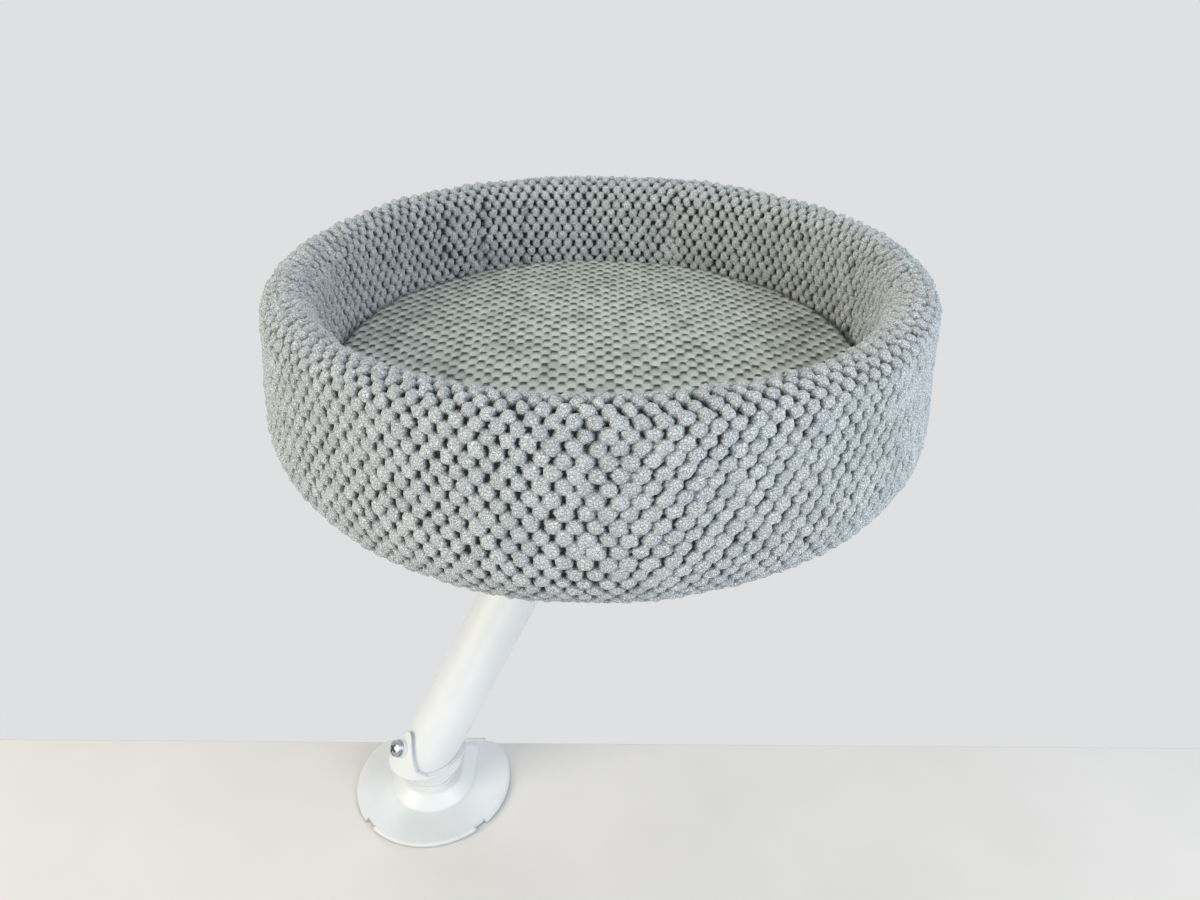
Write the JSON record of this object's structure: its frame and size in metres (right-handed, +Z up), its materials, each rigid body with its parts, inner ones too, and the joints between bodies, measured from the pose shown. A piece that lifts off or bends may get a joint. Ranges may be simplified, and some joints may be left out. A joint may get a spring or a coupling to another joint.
{
  "type": "desk-clamp cat bed",
  "caption": "Round plush cat bed with a lift-out cushion, on one leaning pole that turns on a screw clamp at the rear edge of a desk.",
  "frame": {"origin": "where the swivel axis meets the desktop, on the underside of the plate's pad", "axes": "+Z up along the swivel axis; +Y towards the desk's rear edge, where the clamp's spine is; +X to the right as seen from the desk's front"},
  "size_m": [0.4129, 0.4129, 0.5275],
  "materials": {
    "white_coat": "semi-gloss white powder coat",
    "zinc_steel": "bright zinc plate",
    "black_plastic": "fine-grained moulding",
    "white_nylon": "natural nylon moulding",
    "grey_rubber": "matt, fine-grained",
    "bobble_fleece": "bobbly knitted fleece, light cool grey",
    "cushion_fleece": "flat oval-bobble fleece, greenish grey",
    "underside_cloth": "plain non-woven cloth",
    "foam": "open-cell foam",
    "plywood": "sanded birch plywood"
  },
  "bodies": {
    "clamp_base": {"base_plate": "white_coat", "desk_pad": "grey_rubber", "edge_pad": "grey_rubber", "jaw_studs": "zinc_steel", "jaw_washers": "zinc_steel", "jaw_nuts": "zinc_steel", "lower_jaw": "white_coat", "screw_nut": "white_coat", "pivot_bolt": "zinc_steel", "thrust_washer": "white_nylon", "pivot_washer": "zinc_steel", "pivot_nut": "zinc_steel"},
    "foot": {"pressure_foot": "zinc_steel", "foot_pad": "grey_rubber"},
    "screw": {"clamp_screw": "zinc_steel", "retaining_ring": "zinc_steel", "screw_knob": "black_plastic", "knob_pin": "zinc_steel"},
    "swivel": {"pole_socket": "white_coat", "pole": "white_coat", "pole_screw": "zinc_steel", "pole_screw_washer": "zinc_steel", "pole_weld_nut": "zinc_steel", "top_flange": "white_coat", "flange_screws": "zinc_steel", "flange_washers": "zinc_steel", "tee_nuts": "zinc_steel", "base_board": "plywood", "wall_core": "foam", "bed_cover": "bobble_fleece", "underside_cover": "underside_cloth", "floor_lining": "underside_cloth"},
    "cushion": {"cushion_core": "foam", "cushion_cover": "cushion_fleece"}
  },
  "joints": [
    {"name": "base_swivel", "type": "hinge", "parent": "clamp_base", "child": "swivel", "pos_m": [0, 0, 0.0145], "axis": [0, 0, 1], "continuous": true},
    {"name": "foot_slide", "type": "slide", "parent": "clamp_base", "child": "foot", "axis": [0, 0, 1], "range_m": [-0.016, 0.026]},
    {"name": "screw_turn", "type": "hinge", "parent": "foot", "child": "screw", "pos_m": [0, 0, -0.1], "axis": [0, 0, 1], "range_deg": [-2880, 4680]},
    {"name": "cushion_lift", "type": "slide", "parent": "swivel", "child": "cushion", "axis": [0, 0, 1], "range_m": [0, 0.11]}
  ],
  "couplings": [
    {"joint": "screw_turn", "follows": "foot_slide", "rad_per_m": 3141.6}
  ]
}
